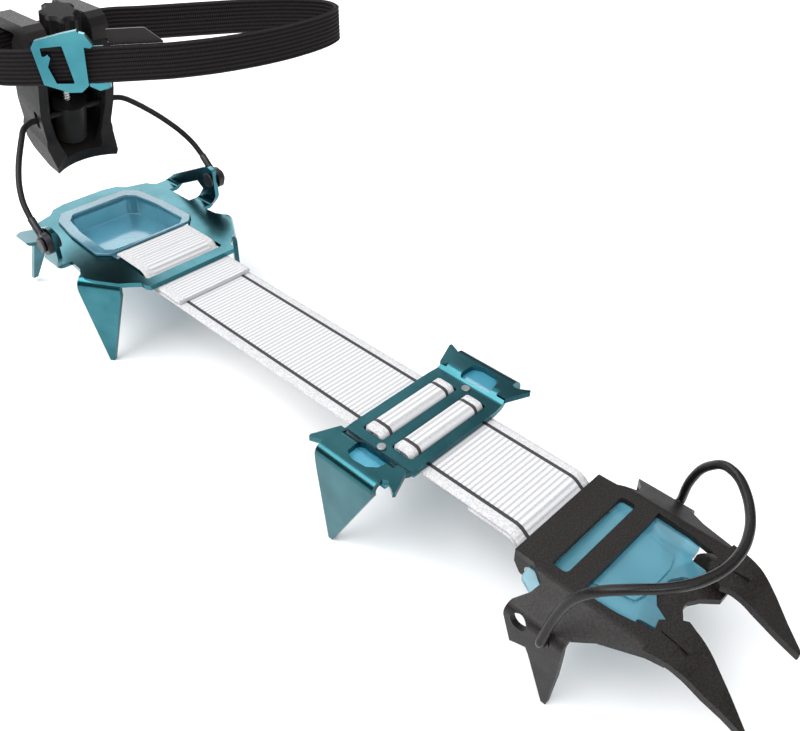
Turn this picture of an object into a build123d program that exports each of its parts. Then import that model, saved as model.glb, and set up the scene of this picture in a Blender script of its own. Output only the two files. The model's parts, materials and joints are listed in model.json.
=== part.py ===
# Hybrid crampon: steel toe section, sliding middle plate, alloy heel section, woven link strap,
# wire toe bail, heel cable with an adjustable heel lever, and an ankle strap.
# X runs across the boot, +Y towards the heel, +Z up. The toe plate's upper face is Z = 0.
import os
from math import cos, radians, sin, tan

from build123d import *

os.makedirs("parts", exist_ok=True)

# driving dimensions, mm
STEEL = 2.0
ALLOY = 2.0
WEB_HALF = 17.5
WEB_THICK = 1.6
TOE_REAR = 4.5
PIN_Y = -1.0
PIN_Z = -5.85
PIN_R = 2.0
FOLD_Y = 100.0
BAIL_Y = -16.5
BAIL_Z = -8.5
BAIL_R = 1.4
BAIL_HOLE_R = 2.0
SPARE_HOLE_R = 2.7
EAR_X = 33.2
MID_Y = 58.6
MID_Z = 2.1
WING_RISE = 1.9
HEEL_Z = 3.7
BAR_B_REAR = 215.2
EAR_Y = 226.0
EAR_Z = 17.0
EAR_OUT = 38.5
RIVET_R = 2.0
FIT = 0.05
CABLE_R = 1.2
LEVER_Y = 264.0
LEVER_Z = 49.5
LEVER_LEAN = 18.6
SCREW_V = -5.3
SCREW_R = 2.0
BARREL_V = -3.0
BARREL_R = 6.8
KNOB_LOW = 35.5
KNOB_TOP = 43.2
LOOP_Z = 76.4
LOOP_HIGH = 14.2
LOOP_THICK = 2.0


def mirrored(points):
    """A right-hand outline, given front to rear, closed with its mirror image."""
    return points + [(-x, y) for x, y in reversed(points)]


def finish(builder, name):
    builder.part.label = name
    export_step(builder.part, "parts/" + name + ".step")


def fold(plane, points, radius, thickness, amount, both=False):
    """Folded sheet: a thickened profile extruded along the fold."""
    with BuildPart() as sheet:
        with BuildSketch(plane):
            with BuildLine():
                path = FilletPolyline(*points, radius=radius)
            trace(path, line_width=thickness)
        extrude(amount=amount, both=both)
    return sheet.part


def slab(plane, points, amount, both=False, corner=0.0):
    """A prism of an outline, with its upright corners rounded when asked."""
    with BuildPart() as prism:
        with BuildSketch(plane):
            with BuildLine():
                Polyline(*points, close=True)
            make_face()
        extrude(amount=amount, dir=plane.z_dir, both=both)
        if corner > 0:
            upright = prism.edges().filter_by(Axis((0, 0, 0), plane.z_dir))
            fillet(upright, radius=corner)
    return prism.part


def rod(points, radius):
    """A round rod along straight runs, joined by the largest tangent arcs that the runs allow."""
    corners = [Vector(*point) for point in points]
    radii = []
    for before, here, after in zip(corners, corners[1:], corners[2:]):
        turn = radians((here - before).get_angle(after - here))
        shorter = min((here - before).length, (after - here).length)
        radii.append(0.45 * shorter / tan(turn / 2))
    with BuildPart() as tube:
        with BuildLine() as route:
            FilletPolyline(*points, radius=radii)
        with BuildSketch(Plane(origin=points[0], z_dir=tuple(corners[1] - corners[0]))):
            Circle(radius)
        sweep(path=route.line)
    return tube.part


# ---------------------------------------------------------------- toe section

toe_plan = mirrored([
    (20.6, TOE_REAR), (20.8, -2.0), (24.2, -7.6), (27.6, -6.6), (31.6, -3.6), (34.6, -2.9),
    (34.6, -22.4), (30.8, -22.4), (27.4, -28.0), (23.5, -40.0), (22.6, -46.0),
])
toe_side = [
    (-2.6, 1.0), (-2.9, -9.0), (-6.0, -18.6), (-8.2, -17.6), (-11.4, -16.4), (-12.6, -18.6),
    (-18.9, -34.6), (-20.4, -34.6), (-22.0, -20.0), (-22.5, -8.0), (-22.6, 1.0),
]
toe_front = 45.0
toe_sheet = fold(
    Plane.XZ.offset(-TOE_REAR),
    [(-EAR_X, -36.0), (-EAR_X, -6.4), (-21.5, -1.0), (21.5, -1.0), (EAR_X, -6.4), (EAR_X, -36.0)],
    3.0, STEEL, TOE_REAR + toe_front,
)
blade_plan = [
    (13.0, -37.0), (17.4, -38.0), (23.9, -38.8), (22.2, -48.5), (20.4, -55.0), (18.3, -60.5),
    (16.6, -66.5), (15.3, -66.5), (12.9, -60.0), (10.7, -52.7), (9.0, -45.7), (8.0, -43.2),
    (9.5, -40.5),
]
blade_sheet = fold(
    Plane.YZ.offset(5.0),
    [(-34.0, -1.0), (-47.5, -1.0), (-66.8, -17.1)], 14.0, STEEL, 22.0,
)
bridge_sheet = fold(
    Plane.XZ.offset(29.0),
    [(-18.8, -1.0), (-17.0, -1.0), (-14.9, -6.1), (14.9, -6.1), (17.0, -1.0), (18.8, -1.0)],
    1.6, STEEL, 16.0,
)
bridge_plan = mirrored([
    (1.2, -38.3), (4.7, -40.5), (8.4, -44.6), (17.6, -44.6), (17.6, -37.6), (15.4, -32.6),
    (9.6, -30.2),
])

with BuildPart() as toe_frame:
    add(toe_sheet)
    add(slab(Plane.XY.offset(-45), toe_plan, 60), mode=Mode.INTERSECT)
    # side flanges are cut to the ear and side point outline
    for side in (-1, 1):
        waste_from = Plane.YZ.offset(30.6 if side > 0 else -36.6)
        waste = slab(waste_from, [(-24, -40), (8, -40), (8, 1), (-24, 1)], 6.0)
        keep = slab(waste_from, toe_side, 6.0)
        add(waste - keep, mode=Mode.SUBTRACT)
    # strap slot and the large front window
    add(slab(Plane.XY.offset(-3), [(-17.5, -11.0), (17.5, -11.0), (17.5, -5.8), (-17.5, -5.8)], 4,
             corner=1.4), mode=Mode.SUBTRACT)
    window = mirrored([(13.0, -50.0), (13.0, -38.2), (16.8, -38.2), (18.9, -28.0), (19.5, -17.2)])
    add(slab(Plane.XY.offset(-8), window, 12), mode=Mode.SUBTRACT)
    for side in (-1, 1):
        blade = blade_sheet & slab(Plane.XY.offset(-24), blade_plan, 30)
        add(blade if side > 0 else mirror(blade, about=Plane.YZ))
    add(bridge_sheet & slab(Plane.XY.offset(-12), bridge_plan, 16))
    # rear lugs that carry the strap pin, with a bore through both
    for side in (-1, 1):
        lug_from = Plane.YZ.offset(18.4 if side > 0 else -20.6)
        lug = [(TOE_REAR, -0.6), (TOE_REAR, -5.0), (2.2, -8.6), (-3.2, -8.6), (-4.4, -6.0), (-4.4, -0.6)]
        add(slab(lug_from, lug, 2.2, corner=1.0))
    with BuildSketch(Plane.YZ.offset(-30)):
        with Locations((PIN_Y, PIN_Z)):
            Circle(PIN_R + 0.02)
    extrude(amount=60, mode=Mode.SUBTRACT)
    # two bail positions in each ear
    with BuildSketch(Plane.YZ.offset(-40)):
        with Locations((BAIL_Y, BAIL_Z)):
            Circle(BAIL_HOLE_R)
        with Locations((BAIL_Y + 8.4, BAIL_Z)):
            Circle(SPARE_HOLE_R)
    extrude(amount=80, mode=Mode.SUBTRACT)
    # stiffening beads pressed along the two front points
    for side in (-1, 1):
        with BuildSketch(Plane.XY.offset(-0.6)):
            with Locations(Location((side * 15.6, -43.6), side * 8.0)):
                SlotOverall(9.0, 1.5, rotation=90)
        extrude(amount=1.1)
finish(toe_frame, "toe_frame")

with BuildPart() as strap_pin:
    with BuildSketch(Plane.YZ.offset(-20.6)):
        with Locations((PIN_Y, PIN_Z)):
            Circle(PIN_R)
    extrude(amount=41.2)
finish(strap_pin, "strap_pin")

snow_plan = mirrored([
    (17.0, -0.8), (24.5, -1.0), (26.4, -6.0), (24.0, -16.0), (21.9, -27.0), (20.4, -31.0), (18.0, -31.9), (14.2, -31.9),
    (13.7, -32.6), (13.2, -36.8), (11.4, -38.6), (9.4, -38.2), (6.8, -33.4), (3.4, -31.2),
])
with BuildPart() as toe_snow_plate:
    add(fold(
        Plane.XZ.offset(0.5),
        [(-27.0, -5.6), (-21.2, -3.0), (-18.6, -3.0), (-15.6, -4.2), (15.6, -4.2), (18.6, -3.0),
         (21.2, -3.0), (27.0, -5.6)],
        0.6, 1.2, 39.0,
    ))
    add(slab(Plane.XY.offset(-14), snow_plan, 16, corner=0.8), mode=Mode.INTERSECT)
    # clearance for the strap pin and its lugs
    with BuildSketch(Plane.XY.offset(-14)):
        with Locations((0, -1.2)):
            Rectangle(42.6, 8.0)
    extrude(amount=14, mode=Mode.SUBTRACT)
    # raised panel in the middle
    panel = mirrored([(11.6, -13.0), (13.6, -15.0), (10.0, -28.4), (6.0, -29.6)])
    add(slab(Plane.XY.offset(-4.2), panel, 1.5, corner=0.8))
finish(toe_snow_plate, "toe_snow_plate")

bail_side = [
    (31.0, BAIL_Y, BAIL_Z), (36.4, BAIL_Y, BAIL_Z), (33.8, -18.0, 2.6), (32.4, -21.2, 12.4),
    (30.6, -27.2, 19.4), (26.4, -33.6, 21.8), (20.4, -39.4, 21.7), (13.0, -44.0, 21.4), (4.6, -46.6, 21.2),
]
with BuildPart() as toe_bail:
    add(rod(bail_side + [(-x, y, z) for x, y, z in reversed(bail_side)], BAIL_R))
    # upset ends that run in the ear holes
    for side in (-1, 1):
        with BuildSketch(Plane.YZ.offset(31.0 if side > 0 else -34.6)):
            with Locations((BAIL_Y, BAIL_Z)):
                Circle(BAIL_HOLE_R - FIT)
        extrude(amount=3.6)
finish(toe_bail, "toe_bail")

# ---------------------------------------------------------------- link strap

with BuildPart() as strap_toe_loop:
    with BuildSketch(Plane.YZ.offset(-WEB_HALF)):
        with BuildLine() as loop_path:
            FilletPolyline((10.2, 0.0), (8.4, 0.0), (5.6, -3.0), (PIN_Y, -3.0), radius=1.2)
            ThreePointArc((PIN_Y, -3.0), (PIN_Y - 2.85, PIN_Z), (PIN_Y, PIN_Z - 2.85))
            FilletPolyline((PIN_Y, -8.7), (2.4, -8.7), (9.0, -1.9), (10.2, -1.9), radius=1.2)
        trace(loop_path.line, line_width=WEB_THICK)
    extrude(amount=2 * WEB_HALF)
finish(strap_toe_loop, "strap_toe_loop")

with BuildPart() as strap_front:
    with BuildSketch(Plane.YZ.offset(-WEB_HALF)):
        with Locations(((11.8 + FOLD_Y - 0.9) / 2, 0)):
            Rectangle(FOLD_Y - 0.9 - 11.8, WEB_THICK)
        # stitched second layer behind the toe loop
        with Locations((18.4, -1.7)):
            Rectangle(13.2, 2.0)
    extrude(amount=2 * WEB_HALF)
finish(strap_front, "strap_front")

with BuildPart() as strap_rear:
    with BuildSketch(Plane.YZ.offset(-WEB_HALF)):
        with Locations(((FOLD_Y + 0.9 + 193.7) / 2, 0)):
            Rectangle(193.7 - FOLD_Y - 0.9, WEB_THICK)
    extrude(amount=2 * WEB_HALF)
finish(strap_rear, "strap_rear")

bend_centre = BAR_B_REAR - 0.4
with BuildPart() as strap_heel_wrap:
    with BuildSketch(Plane.YZ.offset(-WEB_HALF)):
        with BuildLine() as wrap_path:
            FilletPolyline((194.1, 0.0), (198.0, 0.0), (203.0, 1.75), (bend_centre, 1.75), radius=1.5)
            ThreePointArc((bend_centre, 1.75), (bend_centre + 1.95, HEEL_Z), (bend_centre, 5.65))
            FilletPolyline((bend_centre, 5.65), (198.2, 5.65), (194.3, 1.8), (190.4, 1.8), radius=1.5)
        trace(wrap_path.line, line_width=WEB_THICK)
    extrude(amount=2 * WEB_HALF)
finish(strap_heel_wrap, "strap_heel_wrap")

with BuildPart() as strap_tail:
    with BuildSketch(Plane.YZ.offset(-WEB_HALF)):
        with Locations(((173.5 + 190.0) / 2, 1.8)):
            Rectangle(16.5, WEB_THICK - 0.1)
    extrude(amount=2 * WEB_HALF)
finish(strap_tail, "strap_tail")

# ---------------------------------------------------------------- middle plate

mid_plan = mirrored([
    (17.7, 43.8), (29.4, 45.4), (31.0, 47.2), (36.0, 47.2), (36.0, 72.7), (31.0, 72.7), (18.0, 73.7),
])
mid_wing_z = MID_Z + WING_RISE
mid_sheet = fold(
    Plane.XZ.offset(-80),
    [(-34.8, -36.0), (-34.8, mid_wing_z), (-25.3, mid_wing_z), (-22.2, MID_Z), (22.2, MID_Z),
     (25.3, mid_wing_z), (34.8, mid_wing_z), (34.8, -36.0)],
    2.6, ALLOY, 42,
)
with BuildPart() as mid_plate:
    add(mid_sheet)
    add(slab(Plane.XY.offset(-40), mid_plan, 60), mode=Mode.INTERSECT)
    for side in (-1, 1):
        waste_from = Plane.YZ.offset(32.0 if side > 0 else -37.0)
        waste = slab(waste_from, [(40, -40), (80, -40), (80, 3.2), (40, 3.2)], 5.0)
        keep = slab(waste_from, [(73, 4), (72.5, -4), (68.9, -34.6), (67.1, -34.6), (47.0, 0.5), (47.0, 4)],
                    5.0)
        add(waste - keep, mode=Mode.SUBTRACT)
        # small corner spikes, flat with the wings
        rear = [(side * 23.5, 71.0), (side * 23.5, 73.6), (side * 33.0, 77.6), (side * 33.9, 77.2),
                (side * 31.6, 71.5)]
        front = [(side * 23.5, 48.0), (side * 31.6, 48.4), (side * 30.2, 45.4), (side * 33.0, 41.0),
                 (side * 32.2, 40.6), (side * 23.5, 44.4)]
        for outline in (rear, front):
            add(slab(Plane.XY.offset(mid_wing_z - ALLOY / 2), outline, ALLOY))
        hole = [(23.0, 50.6), (28.5, 51.6), (31.0, 54.5), (31.5, 60.0), (30.0, 63.7), (23.0, 64.3)]
        hole = [(side * x, y) for x, y in hole]
        add(slab(Plane.XY.offset(-4), hole, 14, corner=1.2), mode=Mode.SUBTRACT)
    # two slots for the strap and the rivet holes between them
    for low, high in ((47.8, 56.7), (60.5, 69.6)):
        slot = [(-17.9, low), (17.9, low), (17.9, high), (-17.9, high)]
        add(slab(Plane.XY.offset(-1), slot, 6, corner=1.0), mode=Mode.SUBTRACT)
    with BuildSketch(Plane.XY.offset(-1)):
        with Locations((-20.1, MID_Y), (20.1, MID_Y)):
            Circle(1.62)
    extrude(amount=6, mode=Mode.SUBTRACT)
finish(mid_plate, "mid_plate")

with BuildPart() as mid_snow_plate:
    add(fold(
        Plane.XZ.offset(-71.0),
        [(-31.2, 2.2), (-25.9, 2.2), (-22.6, 0.35), (-18.85, 0.35), (-18.85, -2.1), (18.85, -2.1),
         (18.85, 0.35), (22.6, 0.35), (25.9, 2.2), (31.2, 2.2)],
        0.8, 1.2, 25.0,
    ))
    with BuildSketch(Plane.XY.offset(-1)):
        with Locations((-20.1, MID_Y), (20.1, MID_Y)):
            Circle(1.62)
    extrude(amount=6, mode=Mode.SUBTRACT)
finish(mid_snow_plate, "mid_snow_plate")

with BuildPart() as mid_rivets:
    for side in (-1, 1):
        with BuildSketch(Plane.XY.offset(-0.4)):
            with Locations((side * 20.1, MID_Y)):
                Circle(1.6)
        extrude(amount=4.1)
finish(mid_rivets, "mid_rivets")


def strap_ridge(name, low, high):
    """The strap pushed up through one slot as a rounded rib."""
    with BuildPart() as ridge:
        with BuildSketch(Plane.YZ.offset(-WEB_HALF)):
            with BuildLine():
                middle = (low + high) / 2
                Line((low, 1.15), (high, 1.15))
                ThreePointArc((high, 1.15), (middle, 4.9), (low, 1.15))
            make_face()
        extrude(amount=2 * WEB_HALF)
    finish(ridge, name)


strap_ridge("strap_ridge_front", 48.2, 56.3)
strap_ridge("strap_ridge_rear", 60.9, 69.2)

# ---------------------------------------------------------------- heel section

heel_plan = mirrored([
    (20.3, 187.8), (21.4, 189.6), (21.6, 192.4), (24.6, 195.4), (28.2, 198.2), (33.0, 206.0),
    (35.6, 211.6), (35.0, 216.0), (33.4, 219.0), (32.6, 228.0), (32.2, 240.0), (31.9, 261.0),
    (27.8, 266.8), (19.4, 269.6), (16.0, 273.4), (10.0, 275.0),
])
window_plan = mirrored([
    (18.6, BAR_B_REAR), (18.8, 218.8), (21.4, 222.4), (20.6, 244.0), (18.4, 257.5), (14.6, 262.6),
])
tray_plan = mirrored([
    (16.8, 219.2), (20.3, 222.7), (19.7, 244.0), (17.6, 257.0), (14.0, 261.8),
])
tray_inner = mirrored([
    (15.6, 220.5), (19.0, 223.6), (18.4, 244.0), (16.4, 256.4), (13.0, 260.5),
])
lip_plan = mirrored([
    (19.6, 218.9), (23.6, 223.4), (22.9, 245.0), (20.6, 260.0), (16.0, 265.6),
])
ear_strip = [
    (262.4, 1.0), (262.4, 5.0), (256.4, 9.4), (229.6, 21.9), (226.0, 22.8), (222.2, 21.6),
    (220.2, 18.0), (220.6, 14.6), (224.2, 8.0), (227.6, 4.0), (227.6, 1.0),
]
ear_gap = [
    (238.2, 0.0), (238.2, 3.6), (232.4, 10.6), (236.2, 13.2), (252.6, 5.6), (253.6, 3.6), (253.6, 0.0),
]
bend_x, bend_y = 33.0, 206.0
along = Vector(0.524, 0.852, 0)
outward = Vector(0.852, -0.524, 0)

with BuildPart() as heel_frame:
    with BuildSketch(Plane.XY.offset(HEEL_Z - ALLOY / 2)):
        with BuildLine():
            Polyline(*heel_plan, close=True)
        make_face()
    extrude(amount=ALLOY)
    add(slab(Plane.XY, [(-18.4, 193.3), (18.4, 193.3), (18.4, 199.2), (-18.4, 199.2)], 8, corner=1.2),
        mode=Mode.SUBTRACT)
    add(slab(Plane.XY, window_plan, 8), mode=Mode.SUBTRACT)
    ear_sheet = fold(
        Plane.XZ.offset(-265),
        [(29.0, HEEL_Z), (EAR_OUT, HEEL_Z), (EAR_OUT, 26.0)], 2.6, ALLOY, 42,
    )
    ear = ear_sheet & (slab(Plane.YZ.offset(28), ear_strip, 14) - slab(Plane.YZ.offset(32.2), ear_gap, 10))
    # front points fold down along lines that splay outwards
    front_sheet = fold(
        Plane(origin=(bend_x, bend_y, 0), x_dir=tuple(outward), z_dir=tuple(along * -1)),
        [(-8.0, HEEL_Z), (0.0, HEEL_Z), (0.0, -36.0)], 3.2, ALLOY, 9.4, both=True,
    )
    front_shape = slab(
        Plane(origin=(bend_x, bend_y, 0), x_dir=tuple(along), z_dir=tuple(outward)),
        [(-9.3, 6.0), (-9.3, -1.0), (0.7, -34.6), (2.6, -34.6), (9.3, -1.0), (9.3, 6.0)], 14.0, both=True,
    )
    front_point = front_sheet & front_shape
    rear_sheet = fold(
        Plane.YZ.offset(17.0),
        [(258.0, HEEL_Z), (267.4, HEEL_Z), (289.3, -33.6)], 3.6, ALLOY, 17.0,
    )
    rear_shape = slab(
        Plane.XZ.offset(-300),
        [(19.4, 6.0), (19.4, 2.0), (25.9, -32.4), (28.1, -32.4), (28.9, 1.0), (28.9, 6.0)], 50,
    )
    rear_point = rear_sheet & rear_shape
    for piece in (ear, front_point, rear_point):
        add(piece)
        add(mirror(piece, about=Plane.YZ))
    with BuildSketch(Plane.YZ.offset(-45)):
        with Locations((EAR_Y, EAR_Z)):
            Circle(RIVET_R + 0.02)
    extrude(amount=90, mode=Mode.SUBTRACT)
finish(heel_frame, "heel_frame")

with BuildPart() as heel_snow_plate:
    add(slab(Plane.XY.offset(-4.8), tray_plan, 9.6, corner=2.0))
    add(slab(Plane.XY.offset(4.75), lip_plan, 1.3, corner=2.0))
    add(slab(Plane.XY.offset(-3.5), tray_inner, 12, corner=1.6), mode=Mode.SUBTRACT)
finish(heel_snow_plate, "heel_snow_plate")

# ---------------------------------------------------------------- heel cable

cable_rise = radians(42)


def on_cable(x, u):
    """A point of the cable bow, u up its leaning plane from the ear rivets."""
    return (x, EAR_Y + u * cos(cable_rise), EAR_Z + u * sin(cable_rise))


bow = [(41.1, 11.6), (40.5, 18.5), (38.0, 26.0), (33.6, 34.2), (28.0, 42.2)]
cable_side = [on_cable(x, u) for x, u in bow] + [(22.2, LEVER_Y, LEVER_Z)]
with BuildPart() as heel_cable:
    add(rod(cable_side + [(-x, y, z) for x, y, z in reversed(cable_side)], CABLE_R))
finish(heel_cable, "heel_cable")

with BuildPart() as cable_eyes:
    for side in (-1, 1):
        with BuildSketch(Plane.YZ.offset(39.8 if side > 0 else -42.4)):
            with Locations((EAR_Y, EAR_Z)):
                Circle(4.4)
        extrude(amount=2.6)
        base = on_cable(side * 41.1, 3.4)
        with BuildSketch(Plane(origin=base, x_dir=(1, 0, 0), z_dir=(0, cos(cable_rise), sin(cable_rise)))):
            Circle(1.5)
        extrude(amount=8.15)
        with BuildSketch(Plane.YZ.offset(36.0 if side > 0 else -43.0)):
            with Locations((EAR_Y, EAR_Z)):
                Circle(RIVET_R + FIT)
        extrude(amount=7.0, mode=Mode.SUBTRACT)
finish(cable_eyes, "cable_eyes")

with BuildPart() as cable_rivets:
    for side in (-1, 1):
        for start_x, radius, length in ((36.2, 3.2, 1.2), (37.4, RIVET_R, 5.2), (42.5, 3.0, 1.3)):
            low = start_x if side > 0 else -start_x - length
            with BuildSketch(Plane.YZ.offset(low)):
                with Locations((EAR_Y, EAR_Z)):
                    Circle(radius)
            extrude(amount=length)
finish(cable_rivets, "cable_rivets")

# ---------------------------------------------------------------- heel lever
# local axes: x across, v forward (towards the toe), w up the screw
lean = radians(LEVER_LEAN)
up_axis = Vector(0, -sin(lean), cos(lean))
forward = Vector(0, -cos(lean), -sin(lean))
pivot = Vector(0, LEVER_Y, LEVER_Z)
side_plane = Plane(origin=tuple(pivot), x_dir=tuple(forward), z_dir=(-1, 0, 0))


def lever_at(v, w, x=0.0):
    point = pivot + forward * v + up_axis * w
    return (x, point.Y, point.Z)


def lever_plane(v, w):
    """Plane across the screw: local x to the right, local y to the rear."""
    return Plane(origin=lever_at(v, w), x_dir=(1, 0, 0), z_dir=tuple(up_axis))


lever_side = [
    (-14.0, 32.0), (-14.0, -18.4), (-10.0, -21.6), (2.0, -23.4), (10.2, -21.6), (10.9, -19.2),
    (5.2, -12.0), (4.4, -7.0), (4.4, 29.0), (2.0, 32.0),
]
lever_front = mirrored([
    (13.7, -24.0), (15.6, -11.0), (15.1, -8.0), (16.6, 2.0), (16.9, 8.0), (16.4, 28.0), (14.4, 32.0),
])
with BuildPart() as lever_body:
    add(slab(side_plane, lever_side, 18.0, both=True))
    front_view = Plane(origin=tuple(pivot), x_dir=(1, 0, 0), z_dir=tuple(forward))
    add(slab(front_view, lever_front, 30.0, both=True), mode=Mode.INTERSECT)
    # pocket for the barrel, closed by a front wall whose opening narrows downwards
    with BuildSketch(lever_plane(0, -17.4)):
        with Locations((0, 4.5)):
            RectangleRounded(25.6, 14.2, 2.0)
    extrude(amount=44.4, mode=Mode.SUBTRACT)
    opening = [(-7.8, -17.4), (7.8, -17.4), (10.6, -9.0), (12.8, 2.0), (12.8, 27.0), (-12.8, 27.0),
               (-12.8, 2.0), (-10.6, -9.0)]
    add(slab(front_view, opening, 20.0), mode=Mode.SUBTRACT)
    # the apron's lower edge is hollowed to the boot's heel
    with BuildSketch(lever_plane(31.0, -30.0)):
        Circle(25.0)
    extrude(amount=19.4, mode=Mode.SUBTRACT)
    # slots for the cable in both side walls, and the screw hole in the top
    with BuildSketch(side_plane):
        SlotOverall(8.6, 2 * CABLE_R + 0.4, rotation=90)
    extrude(amount=20.0, both=True, mode=Mode.SUBTRACT)
    with BuildSketch(lever_plane(SCREW_V, 20.0)):
        Circle(SCREW_R + FIT)
    extrude(amount=14.0, mode=Mode.SUBTRACT)
    # two guides behind the lever hold the ankle strap
    for side in (-1, 1):
        low = 9.2 if side > 0 else -16.7
        guide = [(251.8, 87.4), (250.6, 84.4), (251.6, 78.4), (263.0, 82.2), (264.0, 84.8), (278.6, 84.8),
                 (278.6, 68.4), (272.0, 68.4), (272.0, 65.4), (281.4, 65.4), (281.4, 87.0), (279.0, 89.4),
                 (254.2, 89.4)]
        add(slab(Plane.YZ.offset(low), guide, 7.5, corner=0.7))
finish(lever_body, "lever_body")

with BuildPart() as adjuster_barrel:
    with BuildSketch(lever_plane(BARREL_V, -14.6)):
        Circle(BARREL_R)
    extrude(amount=17.1)
    with BuildSketch(side_plane):
        Circle(CABLE_R + FIT)
    extrude(amount=12.0, both=True, mode=Mode.SUBTRACT)
    with BuildSketch(lever_plane(SCREW_V, -12.6)):
        Circle(SCREW_R + FIT)
    extrude(amount=20.0, mode=Mode.SUBTRACT)
finish(adjuster_barrel, "adjuster_barrel")

with BuildPart() as adjuster_screw:
    with BuildSketch(lever_plane(SCREW_V, -7.0)):
        Circle(SCREW_R)
    extrude(amount=KNOB_LOW + 10.0)
finish(adjuster_screw, "adjuster_screw")

with BuildPart() as knob:
    with BuildSketch(lever_plane(SCREW_V, 32.3)):
        Circle(6.2)
    extrude(amount=KNOB_LOW - 32.3)
    with BuildSketch(lever_plane(SCREW_V, KNOB_LOW)):
        Circle(7.7)
        with PolarLocations(8.9, 8):
            Circle(2.5, mode=Mode.SUBTRACT)
    extrude(amount=KNOB_TOP - KNOB_LOW)
    top = knob.faces().sort_by(Axis(tuple(pivot), tuple(up_axis)))[-1]
    chamfer(top.edges(), length=1.2)
    with BuildSketch(lever_plane(SCREW_V, 30.0)):
        Circle(SCREW_R)
    extrude(amount=8.6, mode=Mode.SUBTRACT)
finish(knob, "knob")

# ---------------------------------------------------------------- ankle strap

loop_line = [
    (0.0, 276.6), (16.0, 276.6), (30.0, 272.6), (41.0, 264.6), (61.0, 251.7), (79.0, 239.4),
    (93.0, 227.0), (101.0, 215.0), (99.0, 205.0), (86.0, 200.4), (64.0, 201.0), (42.0, 206.4),
    (24.0, 214.4), (12.0, 222.6), (-2.0, 233.0), (-13.0, 241.6), (-24.0, 251.0), (-30.4, 260.0),
    (-29.0, 269.4), (-18.0, 275.8),
]
with BuildPart() as ankle_strap:
    with BuildSketch(Plane.XY.offset(LOOP_Z - LOOP_HIGH / 2)):
        with BuildLine() as loop_curve:
            Spline(*loop_line, periodic=True)
        trace(loop_curve.line, line_width=LOOP_THICK)
    extrude(amount=LOOP_HIGH)
finish(ankle_strap, "ankle_strap")

buckle_at = (-10.6, 239.7)
band_angle = -38.0
band_run = Vector(cos(radians(band_angle)), sin(radians(band_angle)), 0)
band_out = Vector(sin(radians(band_angle)), -cos(radians(band_angle)), 0)


def band_plane(run, out):
    """Upright plane on the near run of the ankle strap, local y up, facing the toe."""
    spot = Vector(buckle_at[0], buckle_at[1], LOOP_Z) + band_run * run + band_out * out
    return Plane(origin=tuple(spot), x_dir=tuple(band_run), z_dir=tuple(band_out))


ring = [(-9.6, 8.5), (-8.0, 10.9), (2.0, 13.1), (8.0, 14.1), (9.8, 11.7), (8.4, -6.7), (5.4, -9.1),
        (1.0, -9.1), (-8.0, -5.6)]
ring_hole = [(-6.4, 8.2), (1.6, 8.7), (3.4, -5.6), (-3.2, -5.3), (-5.0, 1.1), (-3.4, 4.5), (-4.2, 5.6),
             (-6.4, 4.7)]
hook_tab = [(7.0, 13.8), (10.6, 12.6), (13.0, 8.2), (11.8, 7.4), (8.6, 8.0)]
with BuildPart() as buckle:
    add(slab(band_plane(0, 1.4), ring, 2.2))
    add(slab(band_plane(0, 1.4), hook_tab, 2.2))
    add(slab(band_plane(0, 1.0), ring_hole, 4.0, corner=0.5), mode=Mode.SUBTRACT)
finish(buckle, "buckle")

with BuildPart() as strap_slider:
    outer = [(7.6, 6.4), (15.6, 6.4), (15.6, -9.8), (11.2, -11.0), (7.6, -9.0)]
    add(slab(band_plane(0, -3.6), outer, 2.0))
    add(slab(band_plane(0, -4.0), [(10.0, 4.4), (13.2, 4.4), (13.2, -7.4), (10.0, -7.4)], 3.0),
        mode=Mode.SUBTRACT)
finish(strap_slider, "strap_slider")

with BuildPart() as strap_tab:
    add(slab(band_plane(0, -1.6), [(17.0, 7.4), (17.0, 13.0), (34.6, 13.0), (40.0, 7.4)], 1.4))
finish(strap_tab, "strap_tab")
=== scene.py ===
import json
import math

import bmesh
import bpy
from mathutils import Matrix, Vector


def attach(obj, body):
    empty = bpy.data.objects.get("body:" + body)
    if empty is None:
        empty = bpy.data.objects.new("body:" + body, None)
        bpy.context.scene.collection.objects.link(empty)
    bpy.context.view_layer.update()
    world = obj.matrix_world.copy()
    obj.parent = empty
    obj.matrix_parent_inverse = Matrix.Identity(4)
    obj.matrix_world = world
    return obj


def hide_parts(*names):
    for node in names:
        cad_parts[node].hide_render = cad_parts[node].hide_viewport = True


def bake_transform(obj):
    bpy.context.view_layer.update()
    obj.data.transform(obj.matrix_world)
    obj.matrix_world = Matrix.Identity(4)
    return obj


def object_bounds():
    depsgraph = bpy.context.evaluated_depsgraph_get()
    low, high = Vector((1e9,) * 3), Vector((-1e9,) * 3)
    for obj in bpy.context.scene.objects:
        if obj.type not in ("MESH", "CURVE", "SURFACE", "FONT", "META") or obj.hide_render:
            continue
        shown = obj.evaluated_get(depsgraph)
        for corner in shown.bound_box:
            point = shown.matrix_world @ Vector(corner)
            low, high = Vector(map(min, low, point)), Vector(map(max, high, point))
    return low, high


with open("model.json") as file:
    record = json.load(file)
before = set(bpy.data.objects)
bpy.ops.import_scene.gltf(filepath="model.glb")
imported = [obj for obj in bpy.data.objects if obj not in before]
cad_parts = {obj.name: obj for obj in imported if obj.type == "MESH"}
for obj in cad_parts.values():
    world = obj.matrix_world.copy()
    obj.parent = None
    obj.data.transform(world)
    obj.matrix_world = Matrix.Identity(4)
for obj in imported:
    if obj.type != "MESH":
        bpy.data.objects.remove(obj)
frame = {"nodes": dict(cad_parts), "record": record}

cad_low, cad_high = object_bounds()
record = frame["record"]
MM = 0.001
body_of = {node: body for body, nodes in record["behaviour"]["bodies"].items() for node in nodes}

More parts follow.
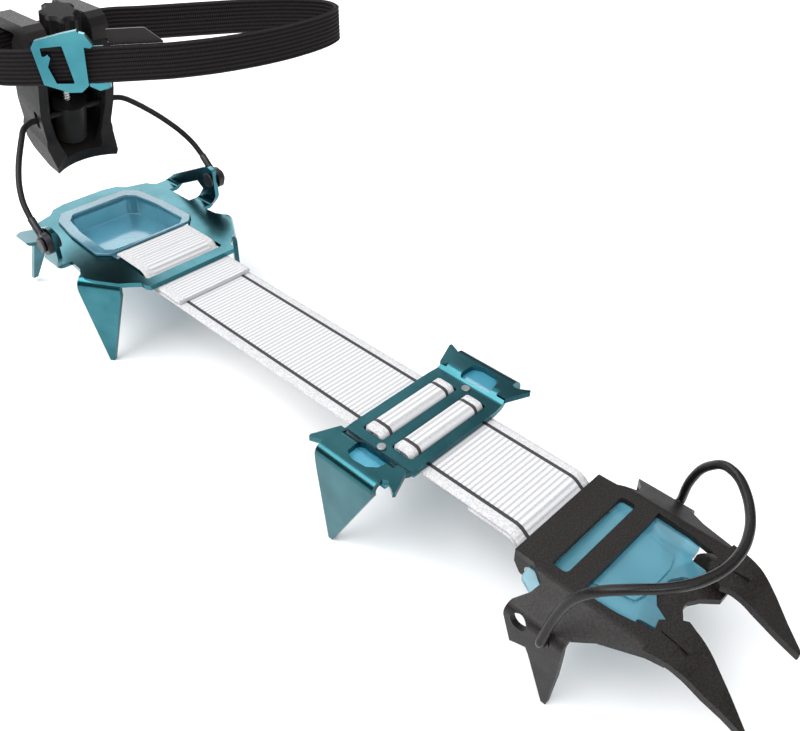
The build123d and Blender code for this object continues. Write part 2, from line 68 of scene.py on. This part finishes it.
# the link strap, mm: its half width, thickness, rib pitch and the two dark lines woven into it
WEB_HALF = 17.5
WEB_THICK = 1.5
RIB_PITCH = 1.8
LINE_AT = 13.4
LINE_HALF = 0.7
WARP_PITCH = 0.62
# the ankle strap's webbing
BAND_HALF = 7.1
BAND_THICK = 1.8
CORD_PITCH = 1.6
WEFT_PITCH = 0.8
# how far a webbing's rounded edge stands out, as a share of its thickness
EDGE_ROUND = 0.35
# points closer than this are one point, m, and faces flatter than this are one face, degrees
WELD = 0.000004
FLAT = 0.4


# ---------------------------------------------------------------- materials

class Look:
    """A node material on one Principled shader, with short calls for the nodes that feed it."""

    def __init__(self, name, **settings):
        self.material = bpy.data.materials.new(name)
        self.material.use_nodes = True
        self.tree = self.material.node_tree
        self.shader = self.tree.nodes["Principled BSDF"]
        for socket, value in settings.items():
            self.shader.inputs[socket.replace("_", " ")].default_value = value

    def node(self, kind, settings=(), **inputs):
        made = self.tree.nodes.new("ShaderNode" + kind)
        for key, value in dict(settings).items():
            setattr(made, key, value)
        for key, value in inputs.items():
            socket = made.inputs[int(key[1:])] if key[0] == "i" and key[1:].isdigit() else made.inputs[key]
            if isinstance(value, bpy.types.NodeSocket):
                self.tree.links.new(value, socket)
            else:
                socket.default_value = value
        return made

    def feed(self, socket, value):
        self.tree.links.new(value, self.shader.inputs[socket])

    def math(self, operation, first, second=0.0):
        return self.node("Math", {"operation": operation}, i0=first, i1=second).outputs[0]

    def place(self):
        return self.node("TexCoord").outputs["Object"]

    def noise(self, where, scale, detail=3.0, roughness=0.5):
        made = self.node("TexNoise", Vector=where, Scale=scale, Detail=detail, Roughness=roughness)
        return made.outputs["Fac"]

    def ramp(self, value, low, high, stops):
        """Colours between two values of a factor."""
        spread = self.node("MapRange", {"clamp": True}, Value=value)
        spread.inputs["From Min"].default_value = low
        spread.inputs["From Max"].default_value = high
        ramp = self.node("ValToRGB", Fac=spread.outputs[0])
        ramp.color_ramp.elements[0].color = (*stops[0], 1)
        ramp.color_ramp.elements[1].color = (*stops[1], 1)
        return ramp.outputs["Color"]

    def span(self, value, from_low, from_high, to_low, to_high):
        made = self.node("MapRange", {"clamp": True}, Value=value)
        for name, number in (("From Min", from_low), ("From Max", from_high), ("To Min", to_low),
                             ("To Max", to_high)):
            made.inputs[name].default_value = number
        return made.outputs[0]

    def mix(self, factor, first, second):
        made = self.node("Mix", {"data_type": "RGBA"})
        self.tree.links.new(factor, made.inputs[0])
        for index, colour in ((6, first), (7, second)):
            if isinstance(colour, bpy.types.NodeSocket):
                self.tree.links.new(colour, made.inputs[index])
            else:
                made.inputs[index].default_value = (*colour, 1)
        return made.outputs[2]

    def bump(self, height, distance, strength=1.0):
        made = self.node("Bump", Height=height, Distance=distance, Strength=strength)
        self.feed("Normal", made.outputs[0])


def powder_coat(name, dark, light, gloss=0.42):
    """Fine speckled powder coat over steel, a little shinier where it is rubbed."""
    look = Look(name, Roughness=gloss, Specular_IOR_Level=0.25)
    where = look.place()
    grain = look.noise(where, 1900.0, 2.0)
    wear = look.noise(where, 70.0, 4.0)
    look.feed("Base Color", look.ramp(grain, 0.35, 0.68, (dark, light)))
    look.feed("Roughness", look.span(wear, 0.35, 0.65, gloss - 0.08, gloss + 0.1))
    look.bump(grain, 0.00006, 0.55)
    return look.material


def anodised(name, dark, light, gloss=0.26):
    """Anodised sheet with the rolling lines of the metal faintly under the dye."""
    look = Look(name, Metallic=1.0, Roughness=gloss)
    where = look.place()
    stretch = look.node("Mapping", Vector=where)
    stretch.inputs["Scale"].default_value = (1.0, 0.06, 1.0)
    rolled = look.noise(stretch.outputs[0], 1500.0, 3.0)
    cloud = look.noise(where, 55.0, 3.0)
    look.feed("Base Color", look.ramp(cloud, 0.32, 0.68, (dark, light)))
    look.feed("Roughness", look.span(rolled, 0.3, 0.7, gloss - 0.02, gloss + 0.03))
    look.bump(rolled, 0.000004, 0.12)
    return look.material


def clear_plastic(name, colour, deep):
    """Tinted see-through plastic, cloudier where the moulding flowed."""
    look = Look(name, Roughness=0.16, IOR=1.46, Coat_Weight=0.4, Coat_Roughness=0.05)
    look.shader.inputs["Transmission Weight"].default_value = 0.55
    where = look.place()
    flow = look.noise(where, 45.0, 2.0)
    fine = look.noise(where, 900.0, 2.0)
    look.feed("Base Color", look.ramp(flow, 0.3, 0.7, (deep, colour)))
    look.feed("Roughness", look.span(flow, 0.3, 0.7, 0.1, 0.24))
    look.bump(fine, 0.00001, 0.3)
    return look.material


def moulded(name, dark, light, gloss=0.46):
    """Moulded nylon with a fine spark-eroded grain."""
    look = Look(name, Roughness=gloss, Specular_IOR_Level=0.16)
    where = look.place()
    grain = look.noise(where, 1300.0, 3.0)
    patch = look.noise(where, 60.0, 2.0)
    look.feed("Base Color", look.ramp(patch, 0.3, 0.7, (dark, light)))
    look.feed("Roughness", look.span(grain, 0.3, 0.7, gloss - 0.08, gloss + 0.1))
    look.bump(grain, 0.00002, 0.4)
    return look.material


def bare_metal(name, dark, light, gloss):
    """Plain machined or pressed metal with fine scratches."""
    look = Look(name, Metallic=1.0, Roughness=gloss)
    where = look.place()
    scratch = look.noise(where, 1100.0, 4.0, 0.7)
    tone = look.noise(where, 140.0, 2.0)
    look.feed("Base Color", look.ramp(tone, 0.3, 0.7, (dark, light)))
    look.feed("Roughness", look.span(scratch, 0.3, 0.7, gloss - 0.08, gloss + 0.14))
    look.bump(scratch, 0.00001, 0.4)
    return look.material


def link_webbing(name, lined):
    """White webbing: crosswise ribs, pebbled edges and, on the lined face, two dark woven lines; painted
    shade darkens the valleys between the ribs, threads and pebbles.
    """
    look = Look(name, Roughness=0.85, Sheen_Weight=0.25, Sheen_Roughness=0.4)
    uv = look.node("UVMap", {"uv_map": "weave"})
    split = look.node("SeparateXYZ", Vector=uv.outputs[0])
    across = split.outputs[0]
    along = split.outputs[1]
    off_middle = look.math("ABSOLUTE", across)
    # ribs with warp threads that cross them, their valleys painted darker as painted shade
    rib = look.math("COSINE", look.math("MULTIPLY", along, 2 * math.pi / RIB_PITCH))
    thread = look.math("COSINE", look.math("MULTIPLY", across, 2 * math.pi / WARP_PITCH))
    weave = look.math("ADD", look.math("MULTIPLY", rib, 0.7), look.math("MULTIPLY", thread, 0.25))
    fleck = look.node("TexNoise", Vector=uv.outputs[0], Scale=1.5, Detail=3.0)
    # painted shade: the base colour follows the weave, darker in the rib and thread valleys
    ground = look.ramp(look.math("ADD", weave, fleck.outputs["Fac"]), -0.25, 0.9,
                       ((0.36, 0.355, 0.36), (0.62, 0.62, 0.63)))
    # scattered dark specks of tracer yarn
    speck = look.node("TexVoronoi", Vector=uv.outputs[0], Scale=0.75)
    spot = look.span(speck.outputs["Distance"], 0.05, 0.14, 0.75, 0.0)
    ground = look.mix(spot, ground, (0.2, 0.195, 0.2))
    # pebbled outer edges beyond the dark lines, painted darker between the pebbles as painted shade
    pebble = look.node("TexVoronoi", Vector=uv.outputs[0], Scale=1.7)
    edge = look.span(off_middle, LINE_AT + 0.5, LINE_AT + 0.9, 0.0, 1.0)
    # painted shade: lighter pebble middles, darker gaps between them
    pebbles_and_shade = look.ramp(pebble.outputs["Distance"], 0.15, 0.75, ((0.60, 0.60, 0.61), (0.45, 0.445, 0.45)))
    ground = look.mix(edge, ground, pebbles_and_shade)
    if lined:
        gap = look.math("ABSOLUTE", look.math("SUBTRACT", off_middle, LINE_AT))
        line = look.span(gap, LINE_HALF - 0.12, LINE_HALF + 0.08, 1.0, 0.0)
        ground = look.mix(line, ground, (0.03, 0.028, 0.03))
    look.feed("Base Color", ground)
    look.bump(weave, 0.00012, 0.5)
    return look.material


def ankle_webbing(name):
    """Black webbing with fine cords woven along it, painted darker between the cords as painted shade."""
    look = Look(name, Roughness=0.8, Sheen_Weight=0.03, Sheen_Roughness=0.4, Specular_IOR_Level=0.12)
    uv = look.node("UVMap", {"uv_map": "weave"})
    split = look.node("SeparateXYZ", Vector=uv.outputs[0])
    cords = look.math("COSINE", look.math("MULTIPLY", split.outputs[0], 2 * math.pi / CORD_PITCH))
    weft = look.math("COSINE", look.math("MULTIPLY", split.outputs[1], 2 * math.pi / WEFT_PITCH))
    weave = look.math("ADD", look.math("MULTIPLY", cords, 0.7), look.math("MULTIPLY", weft, 0.25))
    fleck = look.node("TexNoise", Vector=uv.outputs[0], Scale=1.1, Detail=3.0)
    # painted shade: the base colour darkens in the grooves between the cords and the weft
    look.feed("Base Color", look.ramp(look.math("ADD", weave, fleck.outputs["Fac"]), -0.4, 1.3,
                                      ((0.003, 0.0025, 0.003), (0.019, 0.016, 0.017))))
    look.bump(weave, 0.00016, 0.6)
    return look.material


def pale_floor(name):
    look = Look(name, Roughness=0.7)
    look.shader.inputs["Base Color"].default_value = (0.93, 0.93, 0.93, 1)
    return look.material


steel_coat = powder_coat("steel_coat", (0.006, 0.005, 0.0045), (0.022, 0.0185, 0.017))
wire_coat = powder_coat("wire_coat", (0.005, 0.0045, 0.0045), (0.014, 0.012, 0.011), 0.3)
teal = anodised("teal_sheet", (0.020, 0.090, 0.106), (0.040, 0.140, 0.161), 0.24)
cyan = anodised("cyan_sheet", (0.024, 0.118, 0.142), (0.052, 0.185, 0.218), 0.22)
cyan_buckle = anodised("cyan_buckle", (0.035, 0.165, 0.20), (0.065, 0.245, 0.285), 0.18)
toe_clear = clear_plastic("toe_clear", (0.14, 0.42, 0.52), (0.09, 0.31, 0.41))
mid_clear = clear_plastic("mid_clear", (0.1, 0.45, 0.6), (0.05, 0.3, 0.45))
heel_clear = clear_plastic("heel_clear", (0.16, 0.42, 0.53), (0.09, 0.30, 0.41))
black_nylon = moulded("black_nylon", (0.012, 0.011, 0.0105), (0.026, 0.0235, 0.0225))
knob_nylon = moulded("knob_nylon", (0.006, 0.005, 0.005), (0.015, 0.013, 0.013), 0.5)
cable_sleeve = moulded("cable_sleeve", (0.008, 0.008, 0.008), (0.02, 0.018, 0.018), 0.32)
bright_steel = bare_metal("bright_steel", (0.55, 0.55, 0.55), (0.8, 0.8, 0.8), 0.2)
# a lighter grey for the label's top edge and ends
label_edge_grey = moulded("label_edge_grey", (0.09, 0.085, 0.085), (0.13, 0.125, 0.125), 0.5)
grey_steel = bare_metal("grey_steel", (0.22, 0.23, 0.24), (0.4, 0.42, 0.44), 0.4)
black_steel = bare_metal("black_steel", (0.03, 0.03, 0.032), (0.07, 0.07, 0.075), 0.38)
white_web = link_webbing("white_web", True)
plain_web = link_webbing("plain_web", False)
black_web = ankle_webbing("black_web")


# ---------------------------------------------------------------- mesh helpers

def new_piece(name, mesh, material, smooth_angle=40.0, second=None):
    piece = bpy.data.objects.new(name, mesh)
    bpy.context.scene.collection.objects.link(piece)
    mesh.materials.append(material)
    if second:
        mesh.materials.append(second)
    for face in mesh.polygons:
        face.use_smooth = True
    mesh.set_sharp_from_angle(angle=math.radians(smooth_angle))
    return piece


def stands_for(piece, *nodes):
    """The piece is what is seen of these parts, which are hidden."""
    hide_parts(*nodes)


def closed_mesh(name, shape):
    """The finished mesh of a closed shape, its faces turned outward."""
    bmesh.ops.recalc_face_normals(shape, faces=shape.faces)
    mesh = bpy.data.meshes.new(name)
    shape.to_mesh(mesh)
    shape.free()
    return mesh


def eased(node, material, width, sharp=32.0):
    """A rigid part with its stamped or moulded edges broken by a small round, mm."""
    shape = bmesh.new()
    shape.from_mesh(frame["nodes"][node].data)
    bmesh.ops.remove_doubles(shape, verts=shape.verts, dist=WELD)
    bmesh.ops.dissolve_limit(shape, angle_limit=math.radians(FLAT), verts=shape.verts, edges=shape.edges,
                             use_dissolve_boundaries=False)
    corners = [edge for edge in shape.edges
               if len(edge.link_faces) == 2 and edge.calc_face_angle(0.0) > math.radians(sharp)]
    if width:
        bmesh.ops.bevel(shape, geom=corners, offset=width * MM, offset_type="OFFSET", segments=2,
                        profile=0.5, affect="EDGES", clamp_overlap=True)
    mesh = bpy.data.meshes.new(node + "_skin")
    shape.to_mesh(mesh)
    shape.free()
    piece = new_piece(node + "_skin", mesh, material)
    even = piece.modifiers.new("even_shading", "WEIGHTED_NORMAL")
    even.keep_sharp = True
    even.weight = 100
    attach(piece, body_of[node])
    stands_for(piece, node)
    return piece


def rounded_path(points, cut, step):
    """A polyline with its corners rounded by a cut of at most this length, evenly stepped."""
    corners = [Vector(p) for p in points]
    dense = [corners[0]]
    for before, here, after in zip(corners, corners[1:], corners[2:]):
        back = before - here
        ahead = after - here
        reach = min(cut, back.length * 0.48, ahead.length * 0.48)
        start = here + back.normalized() * reach
        end = here + ahead.normalized() * reach
        for index in range(9):
            t = index / 8
            dense.append(start * (1 - t) ** 2 + here * 2 * t * (1 - t) + end * t ** 2)
    dense.append(corners[-1])
    return evenly(dense, step)


def evenly(points, step):
    """Points about one step apart along a polyline, both ends kept."""
    lengths = [0.0]
    for first, second in zip(points, points[1:]):
        lengths.append(lengths[-1] + (second - first).length)
    count = max(2, round(lengths[-1] / step))
    spots = []
    index = 0
    for number in range(count + 1):
        target = lengths[-1] * number / count
        while index < len(lengths) - 2 and lengths[index + 1] < target:
            index += 1
        run = max(lengths[index + 1] - lengths[index], 1e-9)
        spots.append(points[index].lerp(points[index + 1], (target - lengths[index]) / run))
    return spots


def closed_curve(points, step):
    """A smooth closed line through the given points."""
    corners = [Vector(p) for p in points]
    total = len(corners)
    dense = []
    for index in range(total):
        a, b, c, d = (corners[(index + shift) % total] for shift in (-1, 0, 1, 2))
        for number in range(16):
            t = number / 16
            dense.append(0.5 * (2 * b + (c - a) * t + (2 * a - 5 * b + 4 * c - d) * t * t
                                + (3 * b - a - 3 * c + d) * t ** 3))
    dense.append(dense[0].copy())
    return evenly(dense, step)[:-1]


def section(half, thick, columns):
    """Half widths and half thicknesses round a webbing's section, with rounded edges."""
    ring = [(-half + 2 * half * n / columns, 1.0) for n in range(columns + 1)]
    ring += [(half + EDGE_ROUND * thick, 0.0)]
    ring += [(half - 2 * half * n / columns, -1.0) for n in range(columns + 1)]
    ring += [(-half - EDGE_ROUND * thick, 0.0)]
    return ring


def webbing(name, line, frame_at, half, thick, columns, rise, material, under=None, closed=False,
            start_v=0.0):
    """A woven band along a line, mm. rise(u, v) is how far its face stands out there."""
    ring = section(half - EDGE_ROUND * thick, thick, columns)
    shape = bmesh.new()
    weave = shape.loops.layers.uv.new("weave")
    rows = []
    v = start_v
    for index, spot in enumerate(line):
        if index:
            v += (spot - line[index - 1]).length
        side, out = frame_at(line, index)
        row = []
        for u, face in ring:
            lift = face * (thick / 2 + rise(u, v)) if face else 0.0
            row.append(shape.verts.new((spot + side * u + out * lift) * MM))
        rows.append((v, row))
    pairs = list(zip(rows, rows[1:]))
    if closed:
        pairs.append((rows[-1], (rows[-1][0] + (line[0] - line[-1]).length, rows[0][1])))
    count = len(ring)
    for (v_low, low), (v_high, high) in pairs:
        for index in range(count):
            nxt = (index + 1) % count
            face = shape.faces.new((low[index], low[nxt], high[nxt], high[index]))
            face.material_index = int(under is not None and ring[index][1] + ring[nxt][1] < 0)
            corner_uv = ((ring[index][0], v_low), (ring[nxt][0], v_low),
                         (ring[nxt][0], v_high), (ring[index][0], v_high))
            for loop, place in zip(face.loops, corner_uv):
                loop[weave].uv = place
    if not closed:
        for v_end, row in (rows[0], rows[-1]):
            half_way = count // 2
            for index in range(half_way - 1):
                quad = (row[index], row[index + 1], row[count - 3 - index], row[count - 2 - index])
                if len(set(quad)) == 4:
                    face = shape.faces.new(quad)
                    for loop in face.loops:
                        loop[weave].uv = (0.0, v_end)
            for tip, first, second in ((count - 1, 0, count - 2), (half_way - 1, half_way - 2, half_way)):
                face = shape.faces.new((row[tip], row[first], row[second]))
                for loop in face.loops:
                    loop[weave].uv = (0.0, v_end)
    return new_piece(name, closed_mesh(name, shape), material, 60.0, under)


def across_boot(line, index):
    """The link strap lies across X, and its face turns with the path in the YZ plane."""
    before = line[max(index - 1, 0)]
    after = line[min(index + 1, len(line) - 1)]
    run = (after - before).normalized()
    side = Vector((1, 0, 0))
    return side, side.cross(run)


def upright(line, index):
    """The ankle strap stands on edge round its loop."""
    total = len(line)
    run = (line[(index + 1) % total] - line[index - 1]).normalized()
    side = Vector((0, 0, 1))
    return side, run.cross(side)


def link_rise(u, v):
    """Crosswise ribs between the dark lines, finer beads outside them."""
    if abs(u) < LINE_AT - 0.6:
        return 0.13 * abs(math.sin(math.pi * v / RIB_PITCH)) - 0.05
    if abs(u) < LINE_AT + 0.6:
        return 0.02
    return 0.09 * abs(math.sin(math.pi * v / (RIB_PITCH / 2))) - 0.03


def ankle_rise(u, v):
    return 0.11 * math.cos(2 * math.pi * u / CORD_PITCH)


def link_piece(name, points, cut, start_v=0.0, upper=white_web, thick=WEB_THICK):
    """A stretch of the link strap along (y, z) points. Only its upper face has the dark lines."""
    line = rounded_path([(0.0, y, z) for y, z in points], cut, RIB_PITCH / 6)
    piece = webbing(name, line, across_boot, WEB_HALF, thick, 28, link_rise, upper, plain_web,
                    start_v=start_v)
    length = sum((b - a).length for a, b in zip(line, line[1:]))
    return piece, length * MM


# ---------------------------------------------------------------- link strap

JOIN_FRONT = 79.2
JOIN_REAR = 129.6
BAR_REAR = 214.8
toe_run = [
    (25.0, -1.75), (8.6, -1.75), (2.6, -8.5), (-1.4, -8.75), (-3.7, -7.6), (-3.9, -5.0),
    (-2.6, -3.1), (0.0, -2.9), (5.4, -2.9), (8.6, 0.0), (JOIN_FRONT, 0.0),
]
front_web, front_length = link_piece("link_web_front", toe_run, 1.9, -52.2)
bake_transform(front_web)
stands_for(front_web, "strap_front", "strap_toe_loop")

fold_run = [(JOIN_FRONT, 0.0), (JOIN_REAR, 0.0)]
fold_web, fold_length = link_piece("link_web_fold", fold_run, 1.0, JOIN_FRONT)
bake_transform(fold_web)

heel_run = [(JOIN_REAR, 0.0), (198.0, 0.0), (203.2, 1.75), (209.4, 1.75)]
rear_web, rear_length = link_piece("link_web_rear", heel_run, 2.2, JOIN_REAR)
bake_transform(rear_web)
stands_for(rear_web, "strap_rear")

wrap_run = [(209.4, 1.75), (BAR_REAR, 1.75), (217.1, 2.0), (217.1, 5.4), (BAR_REAR, 5.65), (207.0, 5.65)]
wrap_web, wrap_length = link_piece("link_web_wrap", wrap_run, 2.2, upper=plain_web)
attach(wrap_web, "heel")
stands_for(wrap_web, "strap_heel_wrap")

tail_run = [(207.0, 5.65), (198.2, 5.65), (194.6, 1.85), (173.5, 1.85)]
tail_web, tail_length = link_piece("link_web_tail", tail_run, 1.8, upper=plain_web)
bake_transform(tail_web)
stands_for(tail_web, "strap_tail")


def ridge_web(name, node, low, high):
    """The strap, doubled, where it rises through one slot of the middle plate."""
    points = [(low + 1.15, 0.95), (low + 1.15, 3.65), (high - 1.15, 3.65), (high - 1.15, 0.95)]
    piece, length = link_piece(name, points, 1.3, low, thick=2.2)
    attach(piece, "mid")
    stands_for(piece, node)


ridge_web("link_web_ridge_front", "strap_ridge_front", 48.2, 56.3)
ridge_web("link_web_ridge_rear", "strap_ridge_rear", 60.9, 69.2)

# ---------------------------------------------------------------- ankle strap

loop_line = [
    (0.0, 276.6), (16.0, 276.6), (30.0, 272.6), (41.0, 264.6), (61.0, 251.7), (79.0, 239.4),
    (93.0, 227.0), (101.0, 215.0), (99.0, 205.0), (86.0, 200.4), (64.0, 201.0), (42.0, 206.4),
    (24.0, 214.4), (12.0, 222.6), (-2.0, 233.0), (-13.0, 241.6), (-24.0, 251.0), (-30.4, 260.0),
    (-29.0, 269.4), (-18.0, 275.8),
]
LOOP_Z = 76.4
ring_line = closed_curve([(x, y, LOOP_Z) for x, y in loop_line], 1.2)
ankle = webbing("ankle_band", ring_line, upright, BAND_HALF, BAND_THICK, 54, ankle_rise, black_web,
                closed=True)
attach(ankle, "lever")
stands_for(ankle, "ankle_strap")

# the blank label stands up behind the near run, its far end cut on a slant
LABEL_FROM = 3.0
LABEL_TO = 20.5
LABEL_LOW = 6.8
LABEL_TOP = 12.8
LABEL_THICK = 0.8
LABEL_GAP = 0.15
SLANT_AT = 15.0
SLANT = 1.05
NEAR_RUN_Y = 232.0


def standing_label(name, ring_line, material, edge_grey):
    """A flat patch inside the ankle strap's near run, mm, with its top edge and ends in a lighter grey
    material.
    """
    middle = sum(ring_line, Vector()) / len(ring_line)
    shape = bmesh.new()
    rows = []
    for index, spot in enumerate(ring_line):
        if spot.y > NEAR_RUN_Y or not LABEL_FROM < spot.x < LABEL_TO:
            continue
        side, out = upright(ring_line, index)
        if out.dot(middle - spot) < 0:
            out = -out
        top = LABEL_TOP - max(0.0, spot.x - SLANT_AT) * SLANT
        near = out * (BAND_THICK / 2 + LABEL_GAP)
        far = out * (BAND_THICK / 2 + LABEL_GAP + LABEL_THICK)
        corners = ((near, LABEL_LOW), (near, top), (far, top), (far, LABEL_LOW))
        rows.append([shape.verts.new((spot + shift + side * rise) * MM) for shift, rise in corners])
    for low, high in zip(rows, rows[1:]):
        for number in range(4):
            after = (number + 1) % 4
            face = shape.faces.new((low[number], low[after], high[after], high[number]))
            face.material_index = int(number == 1)
    for row in (rows[0], rows[-1]):
        shape.faces.new(row).material_index = 1
    return new_piece(name, closed_mesh(name, shape), material, 40.0, edge_grey)


label = standing_label("blank_label", ring_line, black_nylon, label_edge_grey)
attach(label, body_of["strap_tab"])
stands_for(label, "strap_tab")

# ---------------------------------------------------------------- rigid parts

eased("toe_frame", steel_coat, 0.35)
eased("toe_snow_plate", toe_clear, 0.3)
eased("mid_plate", teal, 0.3)
eased("mid_snow_plate", mid_clear, 0.3)
eased("mid_rivets", grey_steel, 0.3)
eased("heel_frame", cyan, 0.3)
eased("heel_snow_plate", heel_clear, 0.4)
eased("cable_rivets", black_steel, 0.3)
eased("lever_body", black_nylon, 0.7)
eased("adjuster_barrel", black_nylon, 0.4)
eased("knob", knob_nylon, 0.5)
eased("buckle", cyan_buckle, 0.5)
eased("strap_slider", cyan_buckle, 0.4)
eased("cable_eyes", black_steel, 0.25)
eased("toe_bail", wire_coat, 0)
eased("heel_cable", cable_sleeve, 0)
eased("strap_pin", grey_steel, 0.3)

# ---------------------------------------------------------------- adjuster screw

# the screw leans with the lever and starts below the carriage that its thread runs in
lean = math.radians(18.6)
CARRIAGE_AT = (0, 264.0, 49.5)
screw_up = Vector((0, -math.sin(lean), math.cos(lean)))
screw_ahead = Vector((0, -math.cos(lean), -math.sin(lean)))
screw_foot = Vector(CARRIAGE_AT) - screw_ahead * 5.3 - screw_up * 7.0
SCREW_LENGTH = 45.5
SCREW_RADIUS = 2.0
THREAD_PITCH = 1.25
THREAD_DEPTH = 0.32
ROUND_POINTS = 20


def threaded_rod(name, foot, axis, length, radius, material):
    """A screw with a real helical thread cut into it, mm."""
    sideways = Vector((1, 0, 0))
    other = axis.cross(sideways)
    shape = bmesh.new()
    rings = []
    rows = round(length / (THREAD_PITCH / 6))
    for row in range(rows + 1):
        rise = length * row / rows
        ring = []
        for number in range(ROUND_POINTS):
            turn = 2 * math.pi * number / ROUND_POINTS
            cut = 0.5 + 0.5 * math.cos(2 * math.pi * rise / THREAD_PITCH - turn)
            out = (sideways * math.cos(turn) + other * math.sin(turn)) * (radius - THREAD_DEPTH * cut)
            ring.append(shape.verts.new((foot + axis * rise + out) * MM))
        rings.append(ring)
    for low, high in zip(rings, rings[1:]):
        for number in range(ROUND_POINTS):
            after = (number + 1) % ROUND_POINTS
            shape.faces.new((low[number], low[after], high[after], high[number]))
    shape.faces.new(rings[0])
    shape.faces.new(rings[-1])
    return new_piece(name, closed_mesh(name, shape), material, 50.0)


screw = threaded_rod("adjuster_thread", screw_foot, screw_up, SCREW_LENGTH, SCREW_RADIUS, bright_steel)
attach(screw, body_of["adjuster_screw"])
stands_for(screw, "adjuster_screw")

# ---------------------------------------------------------------- floor, light and camera

floor_mesh = bpy.data.meshes.new("floor")
reach = 6.0
ground = cad_low.z
floor_mesh.from_pydata([(-reach, -reach, ground), (reach, -reach, ground), (reach, reach, ground),
                        (-reach, reach, ground)], [], [(0, 1, 2, 3)])
floor_mesh.materials.append(pale_floor("floor_paint"))
floor = bpy.data.objects.new("floor", floor_mesh)
bpy.context.scene.collection.objects.link(floor)


def softbox(name, spot, aim, size, power, tint=(1, 1, 1)):
    light = bpy.data.lights.new(name, "AREA")
    light.shape = "RECTANGLE"
    light.size, light.size_y = size
    light.energy = power
    light.color = tint
    lamp = bpy.data.objects.new(name, light)
    lamp.location = spot
    lamp.rotation_euler = (Vector(aim) - Vector(spot)).to_track_quat("-Z", "Y").to_euler()
    bpy.context.scene.collection.objects.link(lamp)


middle = (cad_low + cad_high) / 2
softbox("key_light", (-0.7, 0.35, 1.1), middle, (1.3, 0.8), 17.0)
softbox("rear_light", (0.38, 1.2, 0.62), middle, (1.3, 0.7), 7.5)
softbox("front_light", (-0.35, -0.95, 0.7), middle, (0.9, 0.35), 6.0)

world = bpy.data.worlds.new("studio")
world.use_nodes = True
sky = world.node_tree.nodes["Background"]
sky.inputs["Color"].default_value = (0.95, 0.97, 1.0, 1)
heading = world.node_tree.nodes.new("ShaderNodeTexCoord")
height = world.node_tree.nodes.new("ShaderNodeSeparateXYZ")
fade = world.node_tree.nodes.new("ShaderNodeMapRange")
for name, number in (("From Min", 0.6), ("From Max", 0.97), ("To Min", 0.16), ("To Max", 1.9)):
    fade.inputs[name].default_value = number
world.node_tree.links.new(heading.outputs["Generated"], height.inputs[0])
world.node_tree.links.new(height.outputs["Z"], fade.inputs["Value"])
world.node_tree.links.new(fade.outputs[0], sky.inputs["Strength"])
bpy.context.scene.world = world
bpy.context.scene.view_settings.view_transform = "Standard"

lens = bpy.data.cameras.new("camera")
lens.lens = 39.4
lens.sensor_width = 36.0
lens.clip_start = 0.01
lens.clip_end = 30.0
camera = bpy.data.objects.new("camera", lens)
camera.location = (-0.1594, -0.0859, 0.1930)
camera.rotation_euler = (math.radians(51.9), 0, math.radians(-45.6))
bpy.context.scene.collection.objects.link(camera)
bpy.context.scene.camera = camera
